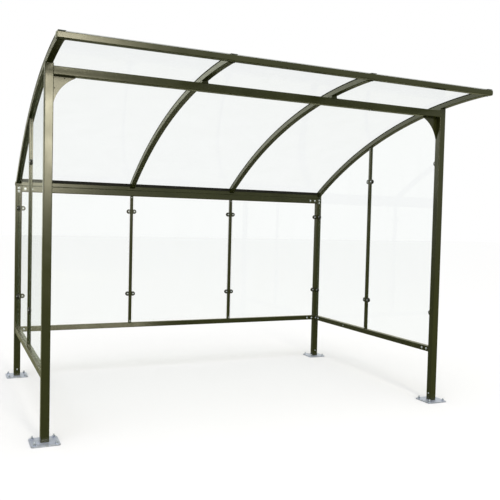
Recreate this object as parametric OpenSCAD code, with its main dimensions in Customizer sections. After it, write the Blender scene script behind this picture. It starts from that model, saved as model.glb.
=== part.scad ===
// Cycle shelter: four square posts on bolted feet, a barrel-curved roof of clear sheets
// that reaches out over the open front, and clear panes in clamps on the back and both sides.
// Units are millimetres. +X runs along the shelter, +Y to its back wall, +Z up.
// The origin is on the ground, at the middle of the shelter's footprint box.

/* [Overall] */
// Distance between post centres along the shelter
post_span_x = 3420; // [2800:10:4400]
// Distance between the centres of the front and the back posts
post_span_y = 2160; // [1800:10:2600]
// Height of the roof frame at its crown, along the front edge
crown_z = 2727; // [2500:1:3300]
// Reach of the roof frame in front of the front posts' centres
overhang = 597; // [300:1:800]
// Outer radius of the curved ribs
rib_r = 5331; // [4500:1:6500]
// Number of bays along the roof and the back wall
bays = 3; // [3]

/* [Posts and beams] */
// Side of the square post, front beam and eaves beam tubes
post_side = 60; // [50:1:80]
// Wall of the post and beam tubes
post_wall = 3; // [2:0.5:5]
// Side of the square bottom rail tubes
rail_side = 50; // [40:1:60]
// Height of the bottom rails' top face above the ground
rail_top = 496; // [300:1:700]
// Wall of the rail, rib and edge tubes
bar_wall = 2.5; // [1.5:0.5:4]
// Height of the saddles that carry the inner ribs on the front beam
saddle_h = 10; // [5:1:20]
// Length of the gusset plates in the front corners, along the front beam
gusset_leg = 155; // [80:1:220]
// Drop of the gusset plates down the front posts
gusset_drop = 190; // [80:1:240]
// Radius of the gusset plates' hollow free edge
gusset_arc_r = 270; // [180:5:600]
// Thickness of the gusset plates
gusset_t = 5; // [3:1:10]
// Distance from the front beam's middle plane back to the gussets' front face
gusset_back = 18; // [0:1:20]

/* [Roof] */
// Width of the rib, front rail and rear rail tubes
rib_w = 50; // [40:1:60]
// Depth of the rib, front rail and rear rail tubes
rib_depth = 40; // [30:1:60]
// Thickness of the clear roof sheets
sheet_t = 4; // [3:1:10]
// Overhang of the roof sheets behind the rear rail
sheet_drip = 15; // [0:1:40]
// Set-back of the sheets and cover strips from the front rail's face
sheet_inset = 3; // [0:1:20]
// Gap between neighbouring roof sheets, over the middle of a rib
sheet_joint = 6; // [2:1:20]
// Thickness of the cover strips that hold the sheets down on the ribs
cover_t = 3; // [2:1:6]
// Depth of the foam fillers between the rear rail and the sheets
filler_t = 12; // [6:1:30]
// Length of the domed caps on the ends of the front and rear rails
cap_len = 12; // [6:1:20]
// Straight rim of a cap at its corners, before the dome starts
cap_rim = 2; // [1:0.5:4]

/* [Walls] */
// Side of the square mullion tubes
mullion_side = 30; // [25:1:40]
// Wall of the mullion tubes
mullion_wall = 2; // [1.5:0.5:3]
// Thickness of the clear wall panes
pane_t = 6; // [4:1:10]
// Gap around the edge of each pane
pane_gap = 12; // [8:1:20]

/* [Pane clamps] */
// Reach of a clamp from the face it is screwed to
clamp_len = 36; // [30:1:60]
// Height of a clamp
clamp_h = 44; // [30:1:60]
// Thickness of a clamp, across the pane
clamp_t = 24; // [16:1:32]
// Solid part of a clamp, behind its slot
clamp_root = 8; // [5:1:10]
// Height of the lower row of clamps above the bottom rails
clamp_rise = 309; // [150:1:500]
// Drop of the upper clamps on the back wall and the back posts, below the eaves beam
clamp_drop = 163; // [60:1:300]
// Drop of the upper clamps on the side mullions, below the end ribs
mullion_clamp_drop = 360; // [150:1:500]
// Drop of the upper clamps on the front posts, below the end ribs
post_clamp_drop = 480; // [200:1:600]

/* [Feet] */
// Side of the square base plates
plate_side = 200; // [150:1:260]
// Thickness of the base plates
plate_t = 10; // [6:1:20]
// Corner radius of the base plates
plate_corner = 20; // [5:1:30]
// Distance between anchor holes, both ways
anchor_pitch = 150; // [110:1:160]
// Diameter of the anchor holes
anchor_d = 14; // [10:1:20]
// Height of the stub tube that stands inside each post
stub_h = 120; // [60:1:200]
// Clearance between a stub tube and the post around it
stub_gap = 0.5; // [0.2:0.1:2]

/* [Hidden] */

paint = [0.36, 0.37, 0.24];
olive_plastic = [0.28, 0.29, 0.18];
zinc = [0.72, 0.74, 0.78];
black = [0.08, 0.08, 0.08];
clear = [0.85, 0.92, 0.95, 0.35];

// Clearance between a curved face and the piece that follows it
fit_gap = 0.2;
// Overshoot of cutting tools
cut = 1;
// Facets of the large roof circles
arc_fn = 720;
// Facets of small round shapes
round_fn = 64;

half_x = post_span_x / 2;
back_y = post_span_y;
side_mid_y = post_span_y / 2;
bay_x = post_span_x / bays;
inner_x = bay_x / 2;
half_post = post_side / 2;
half_mullion = mullion_side / 2;

// Centre of the roof's circles: below the front rail's face
arc_y = -overhang;
arc_z = crown_z - rib_r;
rib_r_in = rib_r - rib_depth;
sheet_r = rib_r + fit_gap + sheet_t;
cover_r = sheet_r + fit_gap + cover_t;

front_face_y = -overhang;
front_rail_back_y = front_face_y + rib_w;
rear_rail_y = back_y - rib_w / 2;
rear_rail_back_y = back_y + rib_w / 2;
edge_rail_len = post_span_x + rib_w;

front_rail_top = arc_height(rib_r, front_rail_back_y) - fit_gap;
rear_rail_top = arc_height(rib_r, rear_rail_back_y) - fit_gap;
eaves_top = rear_rail_top - rib_depth;
eaves_bottom = eaves_top - post_side;
beam_top = arc_height(rib_r_in, half_post) - saddle_h;
beam_bottom = beam_top - post_side;
clear_x = post_span_x - post_side;
clear_y = post_span_y - post_side;

clamp_low_z = rail_top + clamp_rise;
clamp_high_z = eaves_bottom - clamp_drop;
clamp_side_z = arc_height(rib_r_in, side_mid_y) - mullion_clamp_drop;
clamp_front_z = arc_height(rib_r_in, half_post) - post_clamp_drop;

stub_side = post_side - 2 * (post_wall + stub_gap);
slot_t = pane_t + 2 * fit_gap;

// Middle of the footprint box, from the front rail's face to the back feet
mid_y = (front_face_y + back_y + plate_side / 2) / 2;

// Height of a roof circle of radius r at the distance y behind the front posts' centres
function arc_height(r, y) = arc_z + sqrt(r * r - (y - arc_y) * (y - arc_y));

// Moves a piece from the front posts' centre line to the part's frame
module in_frame() {
    translate([0, -mid_y, 0]) children();
}

// A box given by its low corner and its size, centred on X
module x_box(len, y0, z0, size_y, size_z) {
    translate([-len / 2, y0, z0]) cube([len, size_y, size_z]);
}

// A square or oblong tube along X
module tube_x(len, size_y, size_z, wall) {
    difference() {
        cube([len, size_y, size_z], center = true);
        cube([len + 2 * cut, size_y - 2 * wall, size_z - 2 * wall], center = true);
    }
}

// A square tube along Y
module tube_y(len, side, wall) {
    rotate([0, 0, 90]) tube_x(len, side, side, wall);
}

// An upright square tube from z0 to z1
module upright(side, wall, z0, z1) {
    translate([0, 0, (z0 + z1) / 2]) rotate([0, 90, 0]) tube_x(z1 - z0, side, side, wall);
}

// Everything under a roof circle of radius r, over the length len
module under_arc(r, len) {
    translate([-len / 2, arc_y, arc_z]) rotate([0, 90, 0]) cylinder(r = r, h = len, $fn = arc_fn);
}

// A curved bar that follows the roof, from y0 to y1
module curved_bar(r_out, depth, width, y0, y1) {
    intersection() {
        difference() {
            under_arc(r_out, width);
            under_arc(r_out - depth, width + 2 * cut);
        }
        x_box(width + 4 * cut, y0, 0, y1 - y0, arc_z + r_out + cut);
    }
}

module base_plate() {
    inner = plate_side - 2 * plate_corner;
    at = inner / 2;
    translate([-plate_side / 2, -at, 0]) cube([plate_side, inner, plate_t]);
    translate([-at, -plate_side / 2, 0]) cube([inner, plate_side, plate_t]);
    for (x = [-at, at], y = [-at, at])
        translate([x, y, 0]) cylinder(r = plate_corner, h = plate_t, $fn = round_fn);
}

// Base plate with four anchor holes and the stub tube that the post slides over
module foot(x, y) {
    at = anchor_pitch / 2;
    color(zinc) in_frame() translate([x, y, 0]) {
        difference() {
            base_plate();
            for (hx = [-at, at], hy = [-at, at])
                translate([hx, hy, -cut]) cylinder(d = anchor_d, h = plate_t + 2 * cut, $fn = round_fn);
        }
        upright(stub_side, post_wall, plate_t - post_wall, plate_t + stub_h);
    }
}

// Tall post, its top cut to the curve of the end rib
module front_post(x) {
    color(paint) in_frame() intersection() {
        translate([x, 0, 0]) upright(post_side, post_wall, plate_t, crown_z);
        under_arc(rib_r_in - fit_gap, post_span_x + 2 * post_side);
    }
}

// Short post, which carries the rear rail
module back_post(x) {
    color(paint) in_frame() translate([x, back_y, 0]) upright(post_side, post_wall, plate_t, eaves_top);
}

module front_beam() {
    color(paint) in_frame() translate([0, 0, (beam_top + beam_bottom) / 2])
        tube_x(clear_x, post_side, post_side, post_wall);
}

// Corner plate under the front beam, its free edge a hollow arc between two
// square ends as deep as the plate is thick; side is -1 or 1
module gusset(side) {
    run = gusset_leg - gusset_t;
    fall = gusset_drop - gusset_t;
    chord = sqrt(pow(run, 2) + pow(fall, 2));
    reach = sqrt(pow(gusset_arc_r, 2) - pow(chord / 2, 2));
    color(paint) in_frame() translate([side * clear_x / 2, gusset_back, beam_bottom])
        mirror([side > 0 ? 1 : 0, 0, 0]) difference() {
            translate([0, 0, -gusset_drop]) cube([gusset_leg, gusset_t, gusset_drop]);
            translate([gusset_t + run / 2 + reach * fall / chord, -cut,
                       -gusset_t - fall / 2 - reach * run / chord]) rotate([-90, 0, 0])
                cylinder(r = gusset_arc_r, h = gusset_t + 2 * cut, $fn = arc_fn);
        }
}

module eaves_beam() {
    color(paint) in_frame() translate([0, back_y, (eaves_top + eaves_bottom) / 2])
        tube_x(clear_x, post_side, post_side, post_wall);
}

module back_bottom_rail() {
    color(paint) in_frame() translate([0, back_y, rail_top - rail_side / 2])
        tube_x(clear_x, rail_side, rail_side, bar_wall);
}

module side_bottom_rail(x) {
    color(paint) in_frame() translate([x, side_mid_y, rail_top - rail_side / 2])
        tube_y(clear_y, rail_side, bar_wall);
}

module back_mullion(x) {
    color(paint) in_frame() translate([x, back_y, 0])
        upright(mullion_side, mullion_wall, rail_top, eaves_bottom);
}

// Side mullion, its top cut to the curve of the end rib
module side_mullion(x) {
    color(paint) in_frame() intersection() {
        translate([x, side_mid_y, 0]) upright(mullion_side, mullion_wall, rail_top, crown_z);
        under_arc(rib_r_in - fit_gap, post_span_x + 2 * post_side);
    }
}

// Curved tube from the front rail to the rear rail, notched over the rear rail
module rib(x) {
    end_y = rear_rail_back_y - bar_wall;
    color(paint) in_frame() translate([x, 0, 0]) difference() {
        curved_bar(rib_r, rib_depth, rib_w, front_rail_back_y, end_y);
        curved_bar(rib_r - bar_wall, rib_depth - 2 * bar_wall, rib_w - 2 * bar_wall,
            front_rail_back_y - cut, end_y + cut);
        x_box(rib_w + 2 * cut, rear_rail_y, eaves_bottom, rib_w + cut, rear_rail_top - eaves_bottom);
    }
}

// Blocks on the front beam, their tops sloped to meet the inner ribs
module rib_saddles() {
    front = arc_height(rib_r_in, -half_post) - fit_gap;
    back = arc_height(rib_r_in, half_post) - fit_gap;
    color(paint) in_frame() for (x = [-inner_x, inner_x])
        translate([x - rib_w / 2, 0, 0]) rotate([90, 0, 90]) linear_extrude(rib_w)
            polygon([[-half_post, beam_top], [half_post, beam_top], [half_post, back], [-half_post, front]]);
}

module front_rail() {
    color(paint) in_frame()
        translate([0, front_face_y + rib_w / 2, front_rail_top - rib_depth / 2])
            tube_x(edge_rail_len, rib_w, rib_depth, bar_wall);
}

module rear_rail() {
    color(paint) in_frame() translate([0, back_y, rear_rail_top - rib_depth / 2])
        tube_x(edge_rail_len, rib_w, rib_depth, bar_wall);
}

// A pair of domed caps, one on each end of an edge rail
module rail_caps(y, z) {
    corner = sqrt(rib_w * rib_w + rib_depth * rib_depth) / 2;
    dome_h = cap_len - cap_rim;
    dome_r = (corner * corner + dome_h * dome_h) / (2 * dome_h);
    color(olive_plastic) in_frame() for (side = [-1, 1])
        translate([side * edge_rail_len / 2, y, z]) mirror([side > 0 ? 0 : 1, 0, 0]) intersection() {
            translate([0, -rib_w / 2, -rib_depth / 2]) cube([cap_len, rib_w, rib_depth]);
            translate([cap_len - dome_r, 0, 0]) sphere(r = dome_r, $fn = round_fn);
        }
}

// Foam strips that close the wedge between the rear rail and the sheets, one to a bay
module eaves_fillers() {
    color(black) in_frame() intersection() {
        for (i = [0 : bays - 1])
            translate([(i - (bays - 1) / 2) * bay_x, 0, 0])
                x_box(bay_x - rib_w, rear_rail_y, rear_rail_top, filler_t, crown_z - rear_rail_top);
        under_arc(rib_r - fit_gap, post_span_x);
    }
}

// One clear curved sheet; bay is -1, 0 or 1, and outer sheets reach the end ribs' outer faces
module roof_sheet(bay) {
    low = bay < 0 ? -half_x - rib_w / 2 : bay * bay_x - inner_x + sheet_joint / 2;
    high = bay > 0 ? half_x + rib_w / 2 : bay * bay_x + inner_x - sheet_joint / 2;
    color(clear) in_frame() translate([(low + high) / 2, 0, 0])
        curved_bar(sheet_r, sheet_t, high - low, front_face_y + sheet_inset,
            rear_rail_back_y + sheet_drip);
}

// Flat strip bent over a rib, on top of the sheets
module rib_cover(x) {
    color(paint) in_frame() translate([x, 0, 0])
        curved_bar(cover_r, cover_t, rib_w, front_face_y + sheet_inset, rear_rail_back_y);
}

// One pane of the back wall; bay is -1, 0 or 1
module back_pane(bay) {
    low = bay < 0 ? -clear_x / 2 : bay * bay_x - inner_x + half_mullion;
    high = bay > 0 ? clear_x / 2 : bay * bay_x + inner_x - half_mullion;
    color(clear) in_frame()
        translate([low + pane_gap, back_y - pane_t / 2, rail_top + pane_gap])
            cube([high - low - 2 * pane_gap, pane_t, eaves_bottom - rail_top - 2 * pane_gap]);
}

// One pane of a side wall from y0 to y1, its top cut to the curve of the end rib
module side_pane(x, y0, y1) {
    color(clear) in_frame() intersection() {
        translate([x - pane_t / 2, y0 + pane_gap, rail_top + pane_gap])
            cube([pane_t, y1 - y0 - 2 * pane_gap, crown_z]);
        under_arc(rib_r_in - pane_gap, post_span_x + 2 * post_side);
    }
}

module front_side_pane(x) {
    side_pane(x, half_post, side_mid_y - half_mullion);
}

module back_side_pane(x) {
    side_pane(x, side_mid_y + half_mullion, back_y - half_post);
}

// A round-ended clamp that reaches along +X from its face, slotted for the pane's edge
module clamp() {
    nose = clamp_h / 2;
    color(black) difference() {
        union() {
            translate([0, -clamp_t / 2, -nose]) cube([clamp_len - nose, clamp_t, clamp_h]);
            intersection() {
                translate([0, -clamp_t / 2, -nose]) cube([clamp_len, clamp_t, clamp_h]);
                translate([clamp_len - nose, clamp_t / 2 + cut, 0]) rotate([90, 0, 0])
                    cylinder(r = nose, h = clamp_t + 2 * cut, $fn = round_fn);
            }
        }
        translate([clamp_root, -slot_t / 2, -nose - cut]) cube([clamp_len, slot_t, clamp_h + 2 * cut]);
    }
}

// Clamps on the back posts and on both faces of the back mullions, in two rows
module back_clamps() {
    in_frame() for (z = [clamp_low_z, clamp_high_z]) translate([0, back_y, z]) {
        for (side = [0, 1]) mirror([side, 0, 0]) {
            translate([-clear_x / 2, 0, 0]) clamp();
            translate([inner_x + half_mullion, 0, 0]) clamp();
            translate([inner_x - half_mullion, 0, 0]) mirror([1, 0, 0]) clamp();
        }
    }
}

// Clamps at one height of a side wall, on the face at y, reaching forwards or backwards
module side_clamp(x, y, z, way) {
    translate([x, y, z]) rotate([0, 0, 90 * way]) clamp();
}

// Clamps on the posts and mullions of both side walls
module side_clamps() {
    in_frame() for (x = [-half_x, half_x]) {
        for (z = [clamp_low_z, clamp_front_z]) side_clamp(x, half_post, z, 1);
        for (z = [clamp_low_z, clamp_side_z]) {
            side_clamp(x, side_mid_y - half_mullion, z, -1);
            side_clamp(x, side_mid_y + half_mullion, z, 1);
        }
        for (z = [clamp_low_z, clamp_high_z]) side_clamp(x, back_y - half_post, z, -1);
    }
}

module front_left_foot() foot(-half_x, 0);
module front_right_foot() foot(half_x, 0);
module back_left_foot() foot(-half_x, back_y);
module back_right_foot() foot(half_x, back_y);
module front_left_post() front_post(-half_x);
module front_right_post() front_post(half_x);
module back_left_post() back_post(-half_x);
module back_right_post() back_post(half_x);
module left_gusset() gusset(-1);
module right_gusset() gusset(1);
module left_bottom_rail() side_bottom_rail(-half_x);
module right_bottom_rail() side_bottom_rail(half_x);
module back_left_mullion() back_mullion(-inner_x);
module back_right_mullion() back_mullion(inner_x);
module left_mullion() side_mullion(-half_x);
module right_mullion() side_mullion(half_x);
module left_end_rib() rib(-half_x);
module inner_left_rib() rib(-inner_x);
module inner_right_rib() rib(inner_x);
module right_end_rib() rib(half_x);
module front_rail_caps() rail_caps(front_face_y + rib_w / 2, front_rail_top - rib_depth / 2);
module rear_rail_caps() rail_caps(back_y, rear_rail_top - rib_depth / 2);
module left_roof_sheet() roof_sheet(-1);
module middle_roof_sheet() roof_sheet(0);
module right_roof_sheet() roof_sheet(1);
module left_end_cover() rib_cover(-half_x);
module inner_left_cover() rib_cover(-inner_x);
module inner_right_cover() rib_cover(inner_x);
module right_end_cover() rib_cover(half_x);
module back_left_pane() back_pane(-1);
module back_middle_pane() back_pane(0);
module back_right_pane() back_pane(1);
module left_front_pane() front_side_pane(-half_x);
module left_back_pane() back_side_pane(-half_x);
module right_front_pane() front_side_pane(half_x);
module right_back_pane() back_side_pane(half_x);

front_left_foot();
front_right_foot();
back_left_foot();
back_right_foot();
front_left_post();
front_right_post();
back_left_post();
back_right_post();
front_beam();
left_gusset();
right_gusset();
eaves_beam();
back_bottom_rail();
left_bottom_rail();
right_bottom_rail();
back_left_mullion();
back_right_mullion();
left_mullion();
right_mullion();
left_end_rib();
inner_left_rib();
inner_right_rib();
right_end_rib();
rib_saddles();
front_rail();
rear_rail();
front_rail_caps();
rear_rail_caps();
eaves_fillers();
left_roof_sheet();
middle_roof_sheet();
right_roof_sheet();
left_end_cover();
inner_left_cover();
inner_right_cover();
right_end_cover();
back_left_pane();
back_middle_pane();
back_right_pane();
left_front_pane();
left_back_pane();
right_front_pane();
right_back_pane();
back_clamps();
side_clamps();
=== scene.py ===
"""Looks of the cycle shelter: finishes, rounded tube edges, fasteners, welds, studio and camera.

Lengths are in metres, in the part's own frame: +X along the shelter, +Y to its back wall, +Z up,
with the origin on the ground at the middle of its footprint.
"""

import logging
import math
from dataclasses import dataclass, field
from enum import Enum
from typing import ClassVar, Iterable, Sequence

import bmesh
import bpy
from mathutils import Matrix, Vector

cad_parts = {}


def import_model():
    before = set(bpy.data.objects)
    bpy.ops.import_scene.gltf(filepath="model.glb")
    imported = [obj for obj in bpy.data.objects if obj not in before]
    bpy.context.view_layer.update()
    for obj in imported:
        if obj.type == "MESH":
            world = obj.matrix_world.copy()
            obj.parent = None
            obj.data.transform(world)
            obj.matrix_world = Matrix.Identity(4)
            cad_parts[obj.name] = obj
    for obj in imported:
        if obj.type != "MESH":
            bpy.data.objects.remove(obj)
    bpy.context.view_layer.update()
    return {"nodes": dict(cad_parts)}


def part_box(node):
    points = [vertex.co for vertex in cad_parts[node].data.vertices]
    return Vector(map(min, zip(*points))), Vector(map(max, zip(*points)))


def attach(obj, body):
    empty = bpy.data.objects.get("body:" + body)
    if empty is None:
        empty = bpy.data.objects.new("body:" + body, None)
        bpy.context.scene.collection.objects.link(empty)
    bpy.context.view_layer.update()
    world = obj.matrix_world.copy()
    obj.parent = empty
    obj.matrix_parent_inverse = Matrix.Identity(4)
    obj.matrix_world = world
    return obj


MM = 0.001
BODY = "root"
WELD_DISTANCE = 0.01 * MM
FULL_TURN = 2.0 * math.pi
QUARTER_TURN = FULL_TURN / 4.0
SHARP_ANGLE = math.radians(35.0)
WHITE = (1.0, 1.0, 1.0)
LOG = logging.getLogger("cycle_shelter")

Box = tuple[Vector, Vector]


class Slot(Enum):
    """The record's finish names for painted steel, galvanised steel and filler; nothing here uses them."""

    PAINTED_STEEL = "painted_steel"
    GALVANISED = "galvanised"
    FILLER = "filler"


class Run(Enum):
    """The way a tube runs: along one axis, or along the roof's curve."""

    X = (1.0, 0.0, 0.0)
    Y = (0.0, 1.0, 0.0)
    Z = (0.0, 0.0, 1.0)
    CURVE = (0.0, 0.0, 0.0)


class Facing(Enum):
    """The way a fastener's head faces."""

    LEFT = (-1.0, 0.0, 0.0)
    RIGHT = (1.0, 0.0, 0.0)
    FRONT = (0.0, -1.0, 0.0)
    BACK = (0.0, 1.0, 0.0)
    UP = (0.0, 0.0, 1.0)
    DOWN = (0.0, 0.0, -1.0)

    @property
    def vector(self) -> Vector:
        """The direction as a unit vector."""
        return Vector(self.value)


# ---------------------------------------------------------------- finishes


def feed(tree: bpy.types.NodeTree, socket: bpy.types.NodeSocket, value: object) -> None:
    """Joins a node's input to a socket, or sets its value.

    Args:
        tree: The tree that the node is in.
        socket: The input.
        value: A socket, a number or a tuple.
    """
    if isinstance(value, bpy.types.NodeSocket):
        tree.links.new(value, socket)
    else:
        socket.default_value = value


@dataclass(frozen=True)
class Pattern:
    """A cloud pattern: its patches to the metre, its finer octaves and each axis's own scale."""

    scale: float
    detail: float = 2.0
    stretch: tuple[float, float, float] | None = None


class Graph:
    """A material's node tree, with short calls that add nodes and join them."""

    UNIT: ClassVar[tuple[float, float]] = (0.0, 1.0)
    PATTERN_MIDDLE: ClassVar[tuple[float, float]] = (0.3, 0.7)

    def __init__(self, name: str) -> None:
        """Makes an empty material.

        Args:
            name: The material's name.
        """
        self.material = bpy.data.materials.new(name)
        self.material.use_nodes = True
        self.tree = self.material.node_tree
        self.tree.nodes.clear()
        self.output = self.tree.nodes.new("ShaderNodeOutputMaterial")

    def add(self, kind: str, inputs: dict | None = None, **settings: object) -> bpy.types.Node:
        """Adds one node.

        Args:
            kind: The node's type, without its ShaderNode prefix.
            inputs: Its inputs by name, each a value or a socket to join.
            settings: Its own properties.

        Returns:
            The new node.
        """
        node = self.tree.nodes.new(f"ShaderNode{kind}")
        for key, value in settings.items():
            setattr(node, key, value)
        for key, value in (inputs or {}).items():
            feed(self.tree, node.inputs[key], value)
        return node

    def place(self) -> bpy.types.NodeSocket:
        """The point on the piece, in metres in the part's frame."""
        return self.add("TexCoord").outputs["Object"]

    def math(self, operation: str, *values: object) -> bpy.types.NodeSocket:
        """Does a sum.

        Args:
            operation: The sum to do.
            values: Its numbers or sockets, in order.

        Returns:
            The result.
        """
        return self.add("Math", dict(enumerate(values)), operation=operation).outputs[0]

    def noise(self, pattern: Pattern) -> bpy.types.NodeSocket:
        """Adds a cloud pattern.

        Args:
            pattern: The pattern.

        Returns:
            Its value, about 0 to 1.
        """
        point = self.place()
        if pattern.stretch is not None:
            point = self.add("Mapping", {"Vector": point, "Scale": pattern.stretch}).outputs["Vector"]
        settings = {"Vector": point, "Scale": pattern.scale, "Detail": pattern.detail}
        return self.add("TexNoise", settings).outputs["Fac"]

    def remap(
        self,
        value: bpy.types.NodeSocket,
        given: tuple[float, float],
        wanted: tuple[float, float],
        **settings: object,
    ) -> bpy.types.NodeSocket:
        """Maps one range onto another.

        Args:
            value: What is mapped.
            given: The low and high end of its own range.
            wanted: The results at these ends.
            settings: The node's own properties.

        Returns:
            The mapped value.
        """
        ends = dict(zip(("From Min", "From Max", "To Min", "To Max"), (*given, *wanted)))
        return self.add("MapRange", {"Value": value, **ends}, **settings).outputs["Result"]

    def spread(self, value: bpy.types.NodeSocket, wanted: tuple[float, float]) -> bpy.types.NodeSocket:
        """Maps the middle of a pattern's range onto a chosen one.

        Args:
            value: The pattern.
            wanted: The results at the low and high end of that middle.

        Returns:
            The mapped value.
        """
        return self.remap(value, self.PATTERN_MIDDLE, wanted)

    def share(self, value: bpy.types.NodeSocket) -> bpy.types.NodeSocket:
        """Maps the middle of a pattern's range onto 0 to 1."""
        return self.spread(value, self.UNIT)

    def blend(self, factor: object, first: object, second: object) -> bpy.types.NodeSocket:
        """Mixes two colours.

        Args:
            factor: How much of the second colour shows.
            first: A colour or socket.
            second: A colour or socket.

        Returns:
            The mixed colour.
        """
        node = self.add("Mix", data_type="RGBA")
        for index, value in ((0, factor), (6, first), (7, second)):
            feed(self.tree, node.inputs[index], value)
        return node.outputs[2]

    def layer(self, share: object, under: bpy.types.Node, over: bpy.types.Node) -> bpy.types.Node:
        """Lays one shader over another.

        Args:
            share: How much of the upper one shows.
            under: The lower shader.
            over: The upper shader.

        Returns:
            The layered shader.
        """
        return self.add("MixShader", {0: share, 1: under.outputs[0], 2: over.outputs[0]})

    def principled(self, **inputs: object) -> bpy.types.Node:
        """Adds a general-purpose shader.

        Args:
            inputs: Its inputs by name, with underscores for spaces.

        Returns:
            The shader.
        """
        return self.add("BsdfPrincipled", {name.replace("_", " "): value for name, value in inputs.items()})

    def bump(self, height: bpy.types.NodeSocket, depth: float, strength: float = 1.0) -> bpy.types.NodeSocket:
        """Turns a height pattern into a surface normal.

        Args:
            height: The pattern.
            depth: Its depth in metres.
            strength: Share of the effect.

        Returns:
            The normal.
        """
        settings = {"Height": height, "Distance": depth, "Strength": strength}
        return self.add("Bump", settings).outputs["Normal"]

    def finish(self, shader: bpy.types.Node) -> bpy.types.Material:
        """Joins the last shader to the output.

        Args:
            shader: The shader to show.

        Returns:
            The finished material.
        """
        self.tree.links.new(shader.outputs[0], self.output.inputs["Surface"])
        return self.material


def rgba(colour: Sequence[float]) -> tuple[float, float, float, float]:
    """Returns a colour with full opacity."""
    return (*colour, 1.0)


def shade(colour: Sequence[float], share: float) -> tuple[float, float, float, float]:
    """Returns a colour made darker or lighter by a share."""
    return rgba([channel * share for channel in colour])


@dataclass(frozen=True)
class PowderCoat:
    """Semi-gloss powder coat on steel, with orange peel, faint clouding and dust on top."""

    name: str = "olive_powder_coat"
    colour: tuple[float, float, float] = (0.019, 0.022, 0.006)
    dust_colour: tuple[float, float, float] = (0.16, 0.155, 0.11)
    dust: float = 0.16
    dust_slopes: tuple[float, float] = (0.55, 1.0)
    dust_dulling: float = 0.6
    specks: Pattern = Pattern(26.0, 5.0)
    specks_spread: tuple[float, float] = (0.25, 1.0)
    clouds: Pattern = Pattern(3.2, 4.0, (1.0, 1.0, 0.35))
    clouding: tuple[float, float] = (0.86, 1.16)
    gloss_patches: Pattern = Pattern(7.0, 3.0)
    roughness: tuple[float, float] = (0.19, 0.25)
    peel: Pattern = Pattern(420.0, 1.0)
    peel_depth: float = 0.12 * MM
    peel_share: float = 0.5
    specular: float = 0.32

    def material(self) -> bpy.types.Material:
        """Returns the material."""
        g = Graph(self.name)
        dark, light = (shade(self.colour, share) for share in self.clouding)
        tone = g.blend(g.share(g.noise(self.clouds)), dark, light)
        normal_z = g.add("SeparateXYZ", {"Vector": g.add("NewGeometry").outputs["True Normal"]}).outputs["Z"]
        lying = g.remap(normal_z, self.dust_slopes, g.UNIT)
        settled = g.math("MULTIPLY", lying, g.spread(g.noise(self.specks), self.specks_spread))
        amount = g.math("MULTIPLY", settled, self.dust)
        rough = g.spread(g.noise(self.gloss_patches), self.roughness)
        return g.finish(g.principled(
            Base_Color=g.blend(amount, tone, rgba(self.dust_colour)),
            Roughness=g.math("MULTIPLY_ADD", amount, self.dust_dulling, rough),
            Normal=g.bump(g.noise(self.peel), self.peel_depth, self.peel_share),
            Specular_IOR_Level=self.specular,
        ))


@dataclass(frozen=True)
class HotDipZinc:
    """Hot-dip galvanised steel: grey crystals of slightly different tone and gloss."""

    name: str = "hot_dip_zinc"
    colour: tuple[float, float, float] = (0.50, 0.54, 0.74)
    crystal_scale: float = 75.0
    crystal_warp: float = 0.02
    warp_scale: float = 40.0
    crystal_tones: tuple[float, float] = (0.80, 1.08)
    crystal_roughness: tuple[float, float] = (0.38, 0.56)
    clouds: Pattern = Pattern(12.0, 4.0)
    aged_tone: float = 0.70
    aged_spread: tuple[float, float] = (0.0, 0.45)
    grain: Pattern = Pattern(160.0, 3.0)
    grain_depth: float = 0.3 * MM
    grain_share: float = 0.35
    metal: float = 0.75

    def material(self) -> bpy.types.Material:
        """Returns the material."""
        g = Graph(self.name)
        shifts = g.add("TexNoise", {"Vector": g.place(), "Scale": self.warp_scale}).outputs["Color"]
        warped = g.add("Mix", {0: self.crystal_warp, 4: g.place(), 5: shifts}, data_type="VECTOR")
        cells = g.add("TexVoronoi", {"Vector": warped.outputs[1], "Scale": self.crystal_scale})
        tone = g.add("SeparateXYZ", {"Vector": cells.outputs["Color"]}).outputs["X"]
        dark, light = (shade(self.colour, share) for share in self.crystal_tones)
        old = g.spread(g.noise(self.clouds), self.aged_spread)
        return g.finish(g.principled(
            Base_Color=g.blend(old, g.blend(tone, dark, light), shade(self.colour, self.aged_tone)),
            Roughness=g.remap(tone, g.UNIT, self.crystal_roughness),
            Normal=g.bump(g.noise(self.grain), self.grain_depth, self.grain_share),
            Metallic=self.metal,
        ))


@dataclass(frozen=True)
class BrightZinc:
    """Bright zinc-plated screws, nuts and washers, lightly turned."""

    name: str = "bright_zinc_screws"
    colour: tuple[float, float, float] = (0.52, 0.56, 0.68)
    clouds: Pattern = Pattern(220.0, 3.0)
    roughness: tuple[float, float] = (0.24, 0.40)
    dark_tone: float = 0.78
    turning: Pattern = Pattern(1500.0, 2.0, (0.2, 0.2, 1.0))
    turning_depth: float = 0.05 * MM
    turning_share: float = 0.3

    def material(self) -> bpy.types.Material:
        """Returns the material."""
        g = Graph(self.name)
        clouds = g.noise(self.clouds)
        return g.finish(g.principled(
            Base_Color=g.blend(g.share(clouds), shade(self.colour, self.dark_tone), rgba(self.colour)),
            Roughness=g.spread(clouds, self.roughness),
            Normal=g.bump(g.noise(self.turning), self.turning_depth, self.turning_share),
            Metallic=1.0,
        ))


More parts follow.
